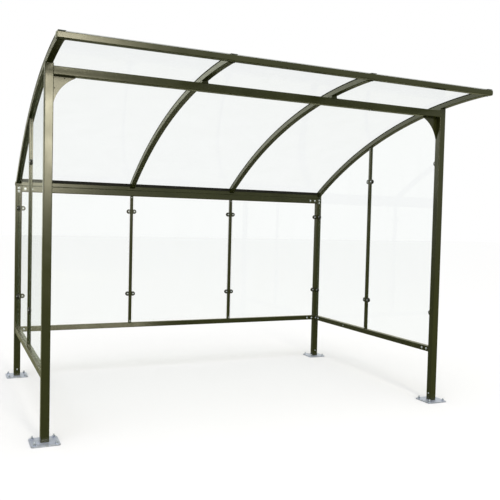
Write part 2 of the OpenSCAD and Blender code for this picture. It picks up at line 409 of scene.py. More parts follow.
@dataclass(frozen=True)
class CoatedPart:
    """A dark moulded, cast or foamed part, with fine grain and faint clouding."""

    name: str
    colour: tuple[float, float, float]
    roughness: float
    grain_scale: float
    grain_depth: float
    specular: float = 0.5
    grain_share: float = 0.5
    clouds: Pattern = Pattern(30.0, 3.0)
    clouding: tuple[float, float] = (0.85, 1.20)
    gloss_patches: Pattern = Pattern(90.0, 2.0)
    rough_steps: tuple[float, float] = (-0.05, 0.07)

    def material(self) -> bpy.types.Material:
        """Returns the material."""
        g = Graph(self.name)
        dark, light = (shade(self.colour, share) for share in self.clouding)
        glossy, dull = (self.roughness + step for step in self.rough_steps)
        return g.finish(g.principled(
            Base_Color=g.blend(g.share(g.noise(self.clouds)), dark, light),
            Roughness=g.spread(g.noise(self.gloss_patches), (glossy, dull)),
            Normal=g.bump(g.noise(Pattern(self.grain_scale)), self.grain_depth, self.grain_share),
            Specular_IOR_Level=self.specular,
        ))


@dataclass(frozen=True)
class ClearSheet:
    """A clear flat or curved sheet: mostly see-through, glossy at a slant, with tinted edges and dust."""

    name: str
    tint: tuple[float, float, float]
    edge_colour: tuple[float, float, float]
    thin_axis: Run
    veil: float = 0.015
    roughness: float = 0.02
    slant_blend: float = 0.5
    falloff: float = 5.0
    shine_low: float = 0.02
    shine_high: float = 0.14
    film_colour: tuple[float, float, float] = (0.86, 0.90, 0.94)
    film_roughness: float = 0.55
    smears: Pattern = Pattern(5.0, 5.0, (1.0, 1.0, 0.4))
    smears_spread: tuple[float, float] = (0.3, 1.0)
    edge_roughness: float = 0.12
    edge_cover: float = 0.6
    end_slope: float = 0.8
    broad_slope: float = 0.5

    def edge_mask(self, g: Graph) -> bpy.types.NodeSocket:
        """Finds the sheet's narrow edge faces.

        Args:
            g: The material being made.

        Returns:
            1 on the edges and 0 on the broad faces.
        """
        normal = g.add("SeparateXYZ", {"Vector": g.add("NewGeometry").outputs["True Normal"]})
        if self.thin_axis is Run.CURVE:
            side, front = (g.math("ABSOLUTE", normal.outputs[axis]) for axis in ("X", "Y"))
            return g.math("GREATER_THAN", g.math("MAXIMUM", side, front), self.end_slope)
        across = g.math("ABSOLUTE", normal.outputs[self.thin_axis.name])
        return g.math("LESS_THAN", across, self.broad_slope)

    def material(self) -> bpy.types.Material:
        """Returns the material."""
        g = Graph(self.name)
        through = g.add("BsdfTransparent", {"Color": rgba(self.tint)})
        film = g.principled(Base_Color=rgba(self.film_colour), Roughness=self.film_roughness)
        smears = g.spread(g.noise(self.smears), self.smears_spread)
        dusty = g.layer(g.math("MULTIPLY", smears, self.veil), through, film)
        gloss = g.add("BsdfGlossy", {"Color": rgba(WHITE), "Roughness": self.roughness})
        facing = g.add("LayerWeight", {"Blend": self.slant_blend}).outputs["Facing"]
        steep = g.math("POWER", facing, self.falloff)
        pane = g.layer(g.remap(steep, g.UNIT, (self.shine_low, self.shine_high)), dusty, gloss)
        edge = g.principled(
            Base_Color=rgba(self.edge_colour), Roughness=self.edge_roughness, Alpha=self.edge_cover
        )
        return g.finish(g.layer(self.edge_mask(g), pane, edge))


@dataclass(frozen=True)
class PaleFloor:
    """A plain pale studio floor that gives back less light than it shows, like paving under an open sky."""

    name: str = "pale_floor"
    shown: tuple[float, float, float] = (0.735, 0.735, 0.86)
    given_back: tuple[float, float, float] = (0.27, 0.27, 0.19)

    def material(self) -> bpy.types.Material:
        """Returns the material."""
        g = Graph(self.name)
        seen = g.add("BsdfDiffuse", {"Color": rgba(self.shown)})
        bounce = g.add("BsdfDiffuse", {"Color": rgba(self.given_back)})
        direct = g.add("LightPath").outputs["Is Camera Ray"]
        return g.finish(g.layer(direct, bounce, seen))


@dataclass
class Finishes:
    """Every finish of the shelter, made once."""

    paint: bpy.types.Material = field(init=False)
    zinc: bpy.types.Material = field(init=False)
    screws: bpy.types.Material = field(init=False)
    clamps: bpy.types.Material = field(init=False)
    caps: bpy.types.Material = field(init=False)
    foam: bpy.types.Material = field(init=False)
    rubber: bpy.types.Material = field(init=False)
    roof: bpy.types.Material = field(init=False)
    back_glass: bpy.types.Material = field(init=False)
    side_glass: bpy.types.Material = field(init=False)

    def __post_init__(self) -> None:
        """Makes the materials."""
        self.paint = PowderCoat().material()
        self.zinc = HotDipZinc().material()
        self.screws = BrightZinc().material()
        self.clamps = CoatedPart(
            "black_cast_clamps",
            (0.012, 0.012, 0.012),
            roughness=0.34,
            grain_scale=900.0,
            grain_depth=0.1 * MM,
        ).material()
        self.caps = CoatedPart(
            "olive_moulded_caps",
            (0.055, 0.058, 0.028),
            roughness=0.30,
            grain_scale=1100.0,
            grain_depth=0.06 * MM,
        ).material()
        self.foam = CoatedPart(
            "black_foam",
            (0.010, 0.010, 0.010),
            roughness=0.88,
            grain_scale=500.0,
            grain_depth=0.6 * MM,
            specular=0.2,
        ).material()
        self.rubber = CoatedPart(
            "black_rubber",
            (0.014, 0.014, 0.014),
            roughness=0.60,
            grain_scale=1400.0,
            grain_depth=0.08 * MM,
        ).material()
        clear = (0.980, 0.989, 0.989)
        sheet_edge = (0.16, 0.18, 0.19)
        glass_edge = (0.06, 0.11, 0.09)
        self.roof = ClearSheet("clear_roof_sheet", clear, sheet_edge, Run.CURVE, roughness=0.04).material()
        self.back_glass = ClearSheet("clear_back_glass", clear, glass_edge, Run.Y).material()
        self.side_glass = ClearSheet("clear_side_glass", clear, glass_edge, Run.X, shine_high=0.08).material()


# ---------------------------------------------------------------- meshes


def piece_from(
    name: str, mesh: bmesh.types.BMesh, material: bpy.types.Material, smooth: bool = True
) -> bpy.types.Object:
    """Makes a finished mesh into a piece that rides on the shelter.

    Args:
        name: The piece's name.
        mesh: Its faces, in the part's frame.
        material: Its finish.
        smooth: Whether its faces are shaded as round.

    Returns:
        The piece.
    """
    bmesh.ops.recalc_face_normals(mesh, faces=mesh.faces)
    data = bpy.data.meshes.new(name)
    mesh.to_mesh(data)
    mesh.free()
    data.materials.append(material)
    data.polygons.foreach_set("use_smooth", [smooth] * len(data.polygons))
    if smooth:
        data.set_sharp_from_angle(angle=SHARP_ANGLE)
    piece = bpy.data.objects.new(name, data)
    bpy.context.scene.collection.objects.link(piece)
    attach(piece, BODY)
    return piece


def stand_on(point: Vector, facing: Vector, turn: float = 0.0) -> Matrix:
    """Returns the matrix that puts +Z of a small part along a direction.

    Args:
        point: Where its base goes.
        facing: The way its top faces.
        turn: Turn about that direction, in radians.

    Returns:
        The matrix.
    """
    lean = facing.normalized().to_track_quat("Z", "Y").to_matrix().to_4x4()
    return Matrix.Translation(point) @ lean @ Matrix.Rotation(turn, 4, "Z")


Ring = list[Vector]


def skin(mesh: bmesh.types.BMesh, rings: Sequence[Ring], place: Matrix, close_ends: bool = True) -> None:
    """Adds a tube-like skin over rings of points.

    Args:
        mesh: The mesh to add to.
        rings: Rings of equal length, in order.
        place: Where the shape goes.
        close_ends: Whether the first and the last ring are filled.
    """
    rows = [[mesh.verts.new(place @ point) for point in ring] for ring in rings]
    count = len(rows[0])
    for low, high in zip(rows, rows[1:]):
        for i in range(count):
            j = (i + 1) % count
            mesh.faces.new((low[i], low[j], high[j], high[i]))
    if close_ends:
        mesh.faces.new(reversed(rows[0]))
        mesh.faces.new(rows[-1])


def circle(radius: float, height: float, count: int) -> Ring:
    """Returns a ring of points on a circle at a height."""
    steps = (FULL_TURN * i / count for i in range(count))
    return [Vector((radius * math.cos(a), radius * math.sin(a), height)) for a in steps]


def hexagon_radius(across: float, angle: float) -> float:
    """Returns a hexagon's reach at an angle, from its width across flats."""
    sixth = FULL_TURN / 6.0
    return across / 2.0 / math.cos((angle % sixth) - sixth / 2.0)


def hexagon(across: float, height: float, count: int) -> Ring:
    """Returns a ring of points on a hexagon at a height."""
    steps = [FULL_TURN * i / count for i in range(count)]
    return [
        Vector((math.cos(a), math.sin(a), 0.0)) * hexagon_radius(across, a) + Vector((0.0, 0.0, height))
        for a in steps
    ]


@dataclass(frozen=True)
class Washer:
    """A flat washer with rounded rims."""

    outer: float
    inner: float
    thickness: float
    sides: int = 32
    rim_share: float = 0.22

    def build(self, mesh: bmesh.types.BMesh, place: Matrix) -> None:
        """Adds the washer.

        Args:
            mesh: The mesh to add to.
            place: Where its underside's centre goes.
        """
        rim = self.thickness * self.rim_share
        profile = [
            (self.inner, 0.0),
            (self.outer - rim, 0.0),
            (self.outer, rim),
            (self.outer, self.thickness - rim),
            (self.outer - rim, self.thickness),
            (self.inner + rim, self.thickness),
            (self.inner, self.thickness - rim),
            (self.inner, 0.0),
        ]
        rings = [circle(radius, height, self.sides) for radius, height in profile]
        skin(mesh, rings, place, close_ends=False)


@dataclass(frozen=True)
class HexNut:
    """A hexagon nut with turned chamfers."""

    across: float
    bore: float
    thickness: float
    sides: int = 36
    face_share: float = 0.96
    chamfer: float = 30.0

    def chamfered(self, height: float, way: float) -> Ring:
        """Returns the ring where the chamfer cone meets the flats.

        Args:
            height: Height of the nut's end face.
            way: 1 on the top face and -1 on the underside.

        Returns:
            The ring.
        """
        cone = self.across / 2.0 * self.face_share
        slope = math.tan(math.radians(self.chamfer))
        ring = hexagon(self.across, height, self.sides)
        for point in ring:
            reach = math.hypot(point.x, point.y)
            point.z = height - way * max(0.0, reach - cone) * slope
        return ring

    def build(self, mesh: bmesh.types.BMesh, place: Matrix) -> None:
        """Adds the nut.

        Args:
            mesh: The mesh to add to.
            place: Where its underside's centre goes.
        """
        face = self.across / 2.0 * self.face_share
        rings = [
            circle(self.bore, 0.0, self.sides),
            circle(face, 0.0, self.sides),
            self.chamfered(0.0, -1.0),
            self.chamfered(self.thickness, 1.0),
            circle(face, self.thickness, self.sides),
            circle(self.bore, self.thickness, self.sides),
            circle(self.bore, 0.0, self.sides),
        ]
        skin(mesh, rings, place, close_ends=False)


@dataclass(frozen=True)
class Stud:
    """A threaded stud's end, with a chamfered tip."""

    radius: float
    length: float
    pitch: float
    sides: int = 20
    rings_to_a_turn: int = 4
    thread_share: float = 0.42
    tip_share: float = 0.25
    tip_taper: float = 0.4

    def build(self, mesh: bmesh.types.BMesh, place: Matrix) -> None:
        """Adds the stud.

        Args:
            mesh: The mesh to add to.
            place: Where its foot goes.
        """
        depth = self.pitch * self.thread_share
        tip = self.radius * self.tip_share
        steps = int((self.length - tip) / self.pitch * self.rings_to_a_turn)
        rings = []
        for i in range(steps + 1):
            height = (self.length - tip) * i / steps
            ring = []
            for k in range(self.sides):
                angle = FULL_TURN * k / self.sides
                phase = (height / self.pitch - k / self.sides) % 1.0
                radius = self.radius - depth * abs(2.0 * phase - 1.0)
                ring.append(Vector((radius * math.cos(angle), radius * math.sin(angle), height)))
            rings.append(ring)
        rings.append(circle(self.radius - depth - tip * self.tip_taper, self.length, self.sides))
        skin(mesh, rings, place)


@dataclass(frozen=True)
class SocketScrew:
    """A domed screw head with a hexagon socket."""

    radius: float
    height: float
    socket: float
    sides: int = 36
    dome_rings: int = 5
    rim_share: float = 0.18
    foot_share: float = 0.97
    mouth_share: float = 0.62
    mouth_drop: float = 0.08
    socket_floor: float = 0.45
    floor_middle: float = 0.12
    middle_height: float = 0.30

    def build(self, mesh: bmesh.types.BMesh, place: Matrix) -> None:
        """Adds the head.

        Args:
            mesh: The mesh to add to.
            place: Where its underside's centre goes.
        """
        rim = self.height * self.rim_share
        foot = self.radius * self.foot_share
        rings = [circle(foot, 0.0, self.sides), circle(self.radius, rim, self.sides)]
        mouth = self.socket * self.mouth_share
        for i in range(1, self.dome_rings + 1):
            angle = QUARTER_TURN * i / (self.dome_rings + 1)
            reach = mouth + (self.radius - mouth) * math.cos(angle)
            rings.append(circle(reach, rim + (self.height - rim) * math.sin(angle), self.sides))
        rings.append(circle(mouth, self.height, self.sides))
        rings.append(hexagon(self.socket, self.height - self.socket * self.mouth_drop, self.sides))
        rings.append(hexagon(self.socket, self.height * self.socket_floor, self.sides))
        rings.append(circle(self.socket * self.floor_middle, self.height * self.middle_height, self.sides))
        skin(mesh, rings, place)


@dataclass(frozen=True)
class WeldBead:
    """A rippled fillet weld laid along a line in the corner of two faces."""

    leg: float
    ripple: float = 2.6 * MM
    rings_to_a_ripple: int = 3
    ripple_height: float = 0.13
    end_share: float = 0.35
    end_growth: float = 12.0
    belly: tuple[float, float] = (0.80, 0.20)
    facets: int = 5

    def build(
        self, mesh: bmesh.types.BMesh, start: Vector, end: Vector, first: Vector, second: Vector
    ) -> None:
        """Adds the bead.

        Args:
            mesh: The mesh to add to.
            start: One end of the corner line.
            end: The other end.
            first: The way of one leg, away from the corner.
            second: The way of the other leg.
        """
        span = end - start
        steps = max(4, int(span.length / self.ripple * self.rings_to_a_ripple))
        flat, round_part = self.belly
        rings = []
        for i in range(steps + 1):
            along = i / steps
            taper = min(1.0, self.end_share + self.end_growth * min(along, 1.0 - along))
            wave = 1.0 + self.ripple_height * math.sin(FULL_TURN * i / self.rings_to_a_ripple)
            reach = self.leg * taper * wave
            centre = start + span * along
            ring = [centre.copy()]
            for k in range(self.facets + 1):
                angle = QUARTER_TURN * k / self.facets
                swell = flat + round_part * abs(math.cos(2.0 * angle))
                ring.append(centre + (first * math.cos(angle) + second * math.sin(angle)) * reach * swell)
            rings.append(ring)
        skin(mesh, rings, Matrix.Identity(4))


# ---------------------------------------------------------------- modifiers on the carried-over solids


class EdgeRounding:
    """Modifier stacks that round a solid's edges and leave its own mesh as it is."""

    FLAT_ANGLE: ClassVar[float] = math.radians(0.05)
    TUBE_EDGE_ANGLE: ClassVar[float] = math.radians(60.0)
    BROKEN_EDGE_ANGLE: ClassVar[float] = math.radians(40.0)
    LENGTHWISE: ClassVar[float] = 0.9
    CORNER_SEGMENTS: ClassVar[int] = 5

    def __init__(self) -> None:
        """Makes the shared node groups."""
        self.sharp = self._sharp_group()
        self.straight = self._corner_group("straight_tube_corners", curved=False)
        self.curved = self._corner_group("curved_tube_corners", curved=True)

    @staticmethod
    def _group(name: str) -> bpy.types.NodeTree:
        """Returns a new group with a geometry socket at each end."""
        group = bpy.data.node_groups.new(name, "GeometryNodeTree")
        for way in ("INPUT", "OUTPUT"):
            group.interface.new_socket(name="Geometry", in_out=way, socket_type="NodeSocketGeometry")
        return group

    @staticmethod
    def _sum(
        group: bpy.types.NodeTree, kind: str, operation: str, *values: object
    ) -> bpy.types.NodeSocket:
        """Adds a Math or a Vector Math node.

        Args:
            group: The group to add to.
            kind: The node's type, without its ShaderNode prefix.
            operation: The sum to do.
            values: Its values or sockets, in order.

        Returns:
            The result.
        """
        node = group.nodes.new(f"ShaderNode{kind}")
        node.operation = operation
        for socket, value in zip(node.inputs, values):
            feed(group, socket, value)
        return next(socket for socket in node.outputs if socket.enabled)

    @staticmethod
    def _store(
        group: bpy.types.NodeTree,
        kind: str,
        name: str,
        mesh: bpy.types.NodeSocket,
        value: bpy.types.NodeSocket,
    ) -> None:
        """Adds the node that writes an edge attribute, and joins it to the group's end.

        Args:
            group: The group to add to.
            kind: The attribute's type.
            name: The attribute's name.
            mesh: The mesh to write to.
            value: The value at each edge.
        """
        store = group.nodes.new("GeometryNodeStoreNamedAttribute")
        store.data_type = kind
        store.domain = "EDGE"
        for socket, given in (("Name", name), ("Geometry", mesh), ("Value", value)):
            feed(group, store.inputs[socket], given)
        group.links.new(store.outputs[0], group.nodes.new("NodeGroupOutput").inputs[0])

    def _sharp_group(self) -> bpy.types.NodeTree:
        """Returns the group that marks edges sharp by their angle."""
        group = self._group("sharp_by_angle")
        start = group.nodes.new("NodeGroupInput")
        smooth = group.nodes.new("GeometryNodeSetShadeSmooth")
        group.links.new(start.outputs[0], smooth.inputs["Geometry"])
        angle = group.nodes.new("GeometryNodeInputMeshEdgeAngle").outputs["Unsigned Angle"]
        sharp = self._sum(group, "Math", "GREATER_THAN", angle, SHARP_ANGLE)
        self._store(group, "BOOLEAN", "sharp_edge", smooth.outputs[0], sharp)
        return group

    def _corner_group(self, name: str, curved: bool) -> bpy.types.NodeTree:
        """Makes the group that gives a tube's long outer edges their bevel weight.

        Args:
            name: The group's name.
            curved: Whether the tube runs round a centre line instead of along an axis.

        Returns:
            The group. Its second input is the axis, or a point on the centre line.
        """
        group = self._group(name)
        group.interface.new_socket(name="Guide", in_out="INPUT", socket_type="NodeSocketVector")
        start = group.nodes.new("NodeGroupInput")
        ends = group.nodes.new("GeometryNodeInputMeshEdgeVertices")
        first, second = ends.outputs["Position 1"], ends.outputs["Position 2"]
        span = self._sum(group, "VectorMath", "SUBTRACT", second, first)
        line = self._sum(group, "VectorMath", "NORMALIZE", span)
        way = start.outputs["Guide"]
        if curved:
            arm = self._sum(group, "VectorMath", "SUBTRACT", first, way)
            flat = self._sum(group, "VectorMath", "MULTIPLY", arm, (0.0, 1.0, 1.0))
            turned = self._sum(group, "VectorMath", "CROSS_PRODUCT", flat, Run.X.value)
            way = self._sum(group, "VectorMath", "NORMALIZE", turned)
        along = self._sum(group, "Math", "ABSOLUTE", self._sum(group, "VectorMath", "DOT_PRODUCT", line, way))
        signed = group.nodes.new("GeometryNodeInputMeshEdgeAngle").outputs["Signed Angle"]
        lengthwise = self._sum(group, "Math", "GREATER_THAN", along, self.LENGTHWISE)
        outward = self._sum(group, "Math", "GREATER_THAN", signed, self.TUBE_EDGE_ANGLE)
        weight = self._sum(group, "Math", "MULTIPLY", lengthwise, outward)
        self._store(group, "FLOAT", "bevel_weight_edge", start.outputs["Geometry"], weight)
        return group

    def _clean(self, node: bpy.types.Object) -> None:
        """Adds the modifiers that join split points and merge flat triangles."""
        weld = node.modifiers.new("join_points", "WELD")
        weld.merge_threshold = WELD_DISTANCE
        flat = node.modifiers.new("merge_flat_faces", "DECIMATE")
        flat.decimate_type = "DISSOLVE"
        flat.angle_limit = self.FLAT_ANGLE

    def _settle(self, node: bpy.types.Object) -> None:
        """Adds the modifiers that shade the rounded edges."""
        sharp = node.modifiers.new("sharp_by_angle", "NODES")
        sharp.node_group = self.sharp
        shading = node.modifiers.new("face_shading", "WEIGHTED_NORMAL")
        shading.keep_sharp = True
        shading.mode = "FACE_AREA"
        shading.weight = 100

    def tube(self, node: bpy.types.Object, radius: float, run: Run, centre: Vector) -> None:
        """Rounds the long outer edges of a tube.

        Args:
            node: The tube's solid.
            radius: The corner radius.
            run: The way it runs.
            centre: A point on the centre line of the roof's curve.
        """
        self._clean(node)
        corners = node.modifiers.new("corner_weights", "NODES")
        curved = run is Run.CURVE
        corners.node_group = self.curved if curved else self.straight
        guide = next(item for item in corners.node_group.interface.items_tree if item.name == "Guide")
        corners[guide.identifier] = tuple(centre) if curved else run.value
        bevel = node.modifiers.new("corner_radius", "BEVEL")
        bevel.limit_method = "WEIGHT"
        bevel.width = radius
        bevel.segments = self.CORNER_SEGMENTS
        bevel.use_clamp_overlap = False
        self._settle(node)

    def edges(self, node: bpy.types.Object, radius: float, segments: int = 2) -> None:
        """Breaks every sharp edge of a solid.

        Args:
            node: The solid.
            radius: The edge radius.
            segments: Faces round each edge.
        """
        self._clean(node)
        bevel = node.modifiers.new("broken_edges", "BEVEL")
        bevel.limit_method = "ANGLE"
        bevel.angle_limit = self.BROKEN_EDGE_ANGLE
        bevel.width = radius
        bevel.segments = segments
        self._settle(node)


# ---------------------------------------------------------------- sub-assemblies


@dataclass
class Shelter:
    """What every sub-assembly shares: the carried-over solids, the finishes and the edge rounding."""

    nodes: dict[str, bpy.types.Object]
    finishes: Finishes
    rounding: EdgeRounding
    ends: tuple[str, ...] = ("left", "right")
    rib_outer_radius: float = 5.331

    def box(self, name: str) -> Box:
        """Returns a solid's lowest and highest corners."""
        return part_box(name)

    def middle(self, name: str) -> Vector:
        """Returns the middle of a solid's box."""
        low, high = self.box(name)
        return (low + high) / 2.0

    def inner_face(self, name: str, end: str) -> float:
        """Returns the place along the shelter of a solid's face that looks inward from an end."""
        low, high = self.box(name)
        return high.x if end == "left" else low.x

    @staticmethod
    def inward(end: str) -> Facing:
        """Returns the way that looks inward from an end."""
        return Facing.RIGHT if end == "left" else Facing.LEFT

    def named(self, ending: str) -> list[str]:
        """Returns the names of the solids that end so, in order."""
        return sorted(name for name in self.nodes if name.endswith(ending))

    def dress(self, name: str, material: bpy.types.Material) -> bpy.types.Object:
        """Gives a solid its finish.

        Args:
            name: The solid's name.
            material: The finish.

        Returns:
            The solid.
        """
        node = self.nodes[name]
        for spot in node.material_slots:
            spot.material = material
        return node

    @property
    def arc_centre(self) -> Vector:
        """A point on the centre line of the roof's curve."""
        low, high = self.box("left_end_rib")
        front_low, _ = self.box("front_rail")
        reach = low.y - front_low.y
        return Vector((0.0, front_low.y, high.z - math.sqrt(self.rib_outer_radius**2 - reach**2)))

    def on_arc(self, x: float, y: float, radius: float) -> Vector:
        """Finds a point on the roof's curve.

        Args:
            x: Its place along the shelter.
            y: Its depth.
            radius: Radius of the surface that it lies on.

        Returns:
            The point.
        """
        centre = self.arc_centre
        return Vector((x, y, centre.z + math.sqrt(radius**2 - (y - centre.y) ** 2)))

    def islands(self, name: str) -> list[Box]:
        """Finds the separate solids of a node.

        Args:
            name: The node's name.

        Returns:
            The lowest and highest corner of each, in order.
        """
        mesh = bmesh.new()
        mesh.from_mesh(self.nodes[name].data)
        bmesh.ops.remove_doubles(mesh, verts=mesh.verts, dist=WELD_DISTANCE)
        waiting = set(mesh.verts)
        boxes = []
        while waiting:
            front = [waiting.pop()]
            group = []
            while front:
                vert = front.pop()
                group.append(vert.co.copy())
                near = {edge.other_vert(vert) for edge in vert.link_edges} & waiting
                waiting -= near
                front.extend(near)
            low = Vector([min(co[axis] for co in group) for axis in range(3)])
            high = Vector([max(co[axis] for co in group) for axis in range(3)])
            boxes.append((low, high))
        mesh.free()
        return sorted(boxes, key=lambda box: tuple(box[0]))


@dataclass
class TubeFrame:
    """The painted tubes: posts, beams, rails, mullions and ribs."""

    shelter: Shelter
    post_corner: float = 5.0 * MM
    rail_corner: float = 4.5 * MM
    rib_corner: float = 4.0 * MM
    mullion_corner: float = 3.5 * MM
    plate_edge: float = 0.7 * MM

    def build(self) -> int:
        """Rounds and paints the tubes.

        Returns:
            How many solids were dressed.
        """
        groups = (
            (self.shelter.named("_post"), self.post_corner, Run.Z),
            (self.shelter.named("_beam"), self.post_corner, Run.X),
            (["back_bottom_rail"], self.rail_corner, Run.X),
            (["left_bottom_rail", "right_bottom_rail"], self.rail_corner, Run.Y),
            (["front_rail", "rear_rail"], self.rib_corner, Run.X),
            (self.shelter.named("_rib"), self.rib_corner, Run.CURVE),
            (self.shelter.named("_mullion"), self.mullion_corner, Run.Z),
        )
        centre = self.shelter.arc_centre
        count = 0
        for names, radius, run in groups:
            for name in names:
                node = self.shelter.dress(name, self.shelter.finishes.paint)
                self.shelter.rounding.tube(node, radius, run, centre)
                count += 1
        for name in [*self.shelter.named("_gusset"), "rib_saddles"]:
            node = self.shelter.dress(name, self.shelter.finishes.paint)
            self.shelter.rounding.edges(node, self.plate_edge)
            count += 1
        return count


@dataclass
class ClearPanes:
    """The roof sheets, cover strips, foam fillers, rail caps and wall panes."""

    shelter: Shelter
    glass_arris: float = 0.8 * MM
    strip_edge: float = 0.6 * MM
    cap_edge: float = 1.0 * MM
    foam_edge: float = 1.5 * MM

    def build(self) -> int:
        """Dresses the panes and what closes them.

        Returns:
            How many solids were dressed.
        """
        shelter, finishes, rounding = self.shelter, self.shelter.finishes, self.shelter.rounding
        sheets, panes, covers = (shelter.named(ending) for ending in ("_roof_sheet", "_pane", "_cover"))
        caps = shelter.named("_caps")
        for name in sheets:
            shelter.dress(name, finishes.roof)
        for name in panes:
            glass = finishes.back_glass if name.startswith("back_") else finishes.side_glass
            rounding.edges(shelter.dress(name, glass), self.glass_arris, 1)
        for name in covers:
            rounding.edges(shelter.dress(name, finishes.paint), self.strip_edge, 1)
        for name in caps:
            rounding.edges(shelter.dress(name, finishes.caps), self.cap_edge)
        rounding.edges(shelter.dress("eaves_fillers", finishes.foam), self.foam_edge)
        return len([*sheets, *panes, *covers, *caps, "eaves_fillers"])


@dataclass(frozen=True)
class ButtonBolt:
    """A domed socket bolt, with or without a washer under its head."""

    head: SocketScrew
    washer: Washer | None = None
    turn_step: float = 0.65

    def fit(self, mesh: bmesh.types.BMesh, points: Iterable[Vector], facing: Facing) -> int:
        """Fits one bolt at each point.

        Args:
            mesh: The mesh to add to.
            points: Where the heads bear on the surface.
            facing: The way the heads face.

        Returns:
            How many were fitted.
        """
        count = 0
        for count, point in enumerate(points, 1):
            lift = 0.0
            turn = count * self.turn_step
            if self.washer is not None:
                self.washer.build(mesh, stand_on(point, facing.vector, turn))
                lift = self.washer.thickness
            self.head.build(mesh, stand_on(point + facing.vector * lift, facing.vector, turn))
        return count


@dataclass
class BaseAnchors:
    """The galvanised feet, with an anchor stud, washer and nut in each of their holes."""

    shelter: Shelter
    half_pitch: float = 75.0 * MM
    plate_thickness: float = 10.0 * MM
    plate_edge: float = 1.0 * MM
    first_turn: float = 0.4
    turn_step: float = 0.7
    washer: Washer = Washer(12.0 * MM, 6.6 * MM, 2.5 * MM)
    nut: HexNut = HexNut(19.0 * MM, 6.2 * MM, 10.8 * MM)
    stud: Stud = Stud(6.0 * MM, 24.0 * MM, 1.75 * MM)

    def anchor(self, mesh: bmesh.types.BMesh, foot: Vector, turn: float) -> None:
        """Adds one anchor.

        Args:
            mesh: The mesh to add to.
            foot: Where its washer lies on the plate.
            turn: Turn of its nut.
        """
        up = Facing.UP.vector
        self.washer.build(mesh, stand_on(foot, up, turn))
        self.nut.build(mesh, stand_on(foot + up * self.washer.thickness, up, turn))
        self.stud.build(mesh, stand_on(foot, up, turn))

    def build(self) -> int:
        """Dresses the feet and fits their anchors.

        Returns:
            How many anchors were fitted.
        """
        count = 0
        for name in self.shelter.named("_foot"):
            self.shelter.rounding.edges(self.shelter.dress(name, self.shelter.finishes.zinc), self.plate_edge)
            middle = self.shelter.middle(name)
            mesh = bmesh.new()
            for side_x in (-1.0, 1.0):
                for side_y in (-1.0, 1.0):
                    step = Vector((side_x, side_y, 0.0)) * self.half_pitch
                    foot = Vector((middle.x, middle.y, self.plate_thickness)) + step
                    self.anchor(mesh, foot, self.first_turn + self.turn_step * count)
                    count += 1
            piece_from(name.replace("_foot", "_anchors"), mesh, self.shelter.finishes.screws)
        return count


@dataclass
class FrameBolts:
    """The bolts that hold the beams, rails and posts together."""

    shelter: Shelter
    first_step: float = 30.0 * MM
    second_step: float = 92.0 * MM
    post_bolt_drops: tuple[float, float] = (23.0 * MM, 55.0 * MM)
    set_screw_height: float = 70.0 * MM
    beam_bolt_x: float = 0.945
    side_rail_screw_y: float = 0.6525
    bolt: ButtonBolt = ButtonBolt(
        SocketScrew(9.0 * MM, 5.0 * MM, 3.4 * MM), Washer(11.5 * MM, 5.0 * MM, 1.8 * MM)
    )
    set_screw: ButtonBolt = ButtonBolt(SocketScrew(7.0 * MM, 3.8 * MM, 2.8 * MM))

    def x_tube_ends(self, name: str) -> list[Vector]:
        """Finds the bolt places at both ends of a tube along X, on its front face.

        Args:
            name: The tube's name.

        Returns:
            The points.
        """
        low, high = self.shelter.box(name)
        z = (low.z + high.z) / 2.0
        steps = (self.first_step, self.second_step)
        return [Vector((x, low.y, z)) for step in steps for x in (low.x + step, high.x - step)]

    def side_rail_ends(self, end: str) -> list[Vector]:
        """Finds the bolt places on a side rail's inner face.

        Args:
            end: The side.

        Returns:
            The points.
        """
        low, high = self.shelter.box(f"{end}_bottom_rail")
        inner = self.shelter.inner_face(f"{end}_bottom_rail", end)
        z = (low.z + high.z) / 2.0
        steps = (self.first_step, self.second_step)
        return [Vector((inner, y, z)) for step in steps for y in (low.y + step, high.y - step)]

    def build(self) -> int:
        """Fits the bolts.

        Returns:
            How many were fitted.
        """
        shelter = self.shelter
        mesh = bmesh.new()
        front_faces = self.x_tube_ends("eaves_beam") + self.x_tube_ends("back_bottom_rail")
        eaves_top = shelter.box("eaves_beam")[1].z
        for end in shelter.ends:
            x = shelter.middle(f"back_{end}_post").x
            y = shelter.box(f"back_{end}_post")[0].y
            front_faces += [Vector((x, y, eaves_top - drop)) for drop in self.post_bolt_drops]
        count = self.bolt.fit(mesh, front_faces, Facing.FRONT)
        for end in shelter.ends:
            count += self.bolt.fit(mesh, self.side_rail_ends(end), shelter.inward(end))
        under = Vector((self.beam_bolt_x, shelter.middle("front_beam").y, shelter.box("front_beam")[0].z))
        count += self.bolt.fit(mesh, [under], Facing.DOWN)
        piece_from("frame_bolts", mesh, shelter.finishes.screws)
        return count + self.fit_set_screws()

    def fit_set_screws(self) -> int:
        """Fits the set screws that hold the posts on their feet, and one small screw on each side rail.

        Returns:
            How many were fitted.
        """
        shelter = self.shelter
        mesh = bmesh.new()
        count = 0
        for end in shelter.ends:
            post, rail = f"front_{end}_post", f"{end}_bottom_rail"
            x = shelter.middle(f"back_{end}_post").x
            back = Vector((x, shelter.box(f"back_{end}_post")[0].y, self.set_screw_height))
            count += self.set_screw.fit(mesh, [back], Facing.FRONT)
            front = Vector((shelter.inner_face(post, end), shelter.middle(post).y, self.set_screw_height))
            side = Vector((shelter.inner_face(rail, end), self.side_rail_screw_y, shelter.middle(rail).z))
            count += self.set_screw.fit(mesh, [front, side], shelter.inward(end))
        piece_from("set_screws", mesh, shelter.finishes.screws)
        return count


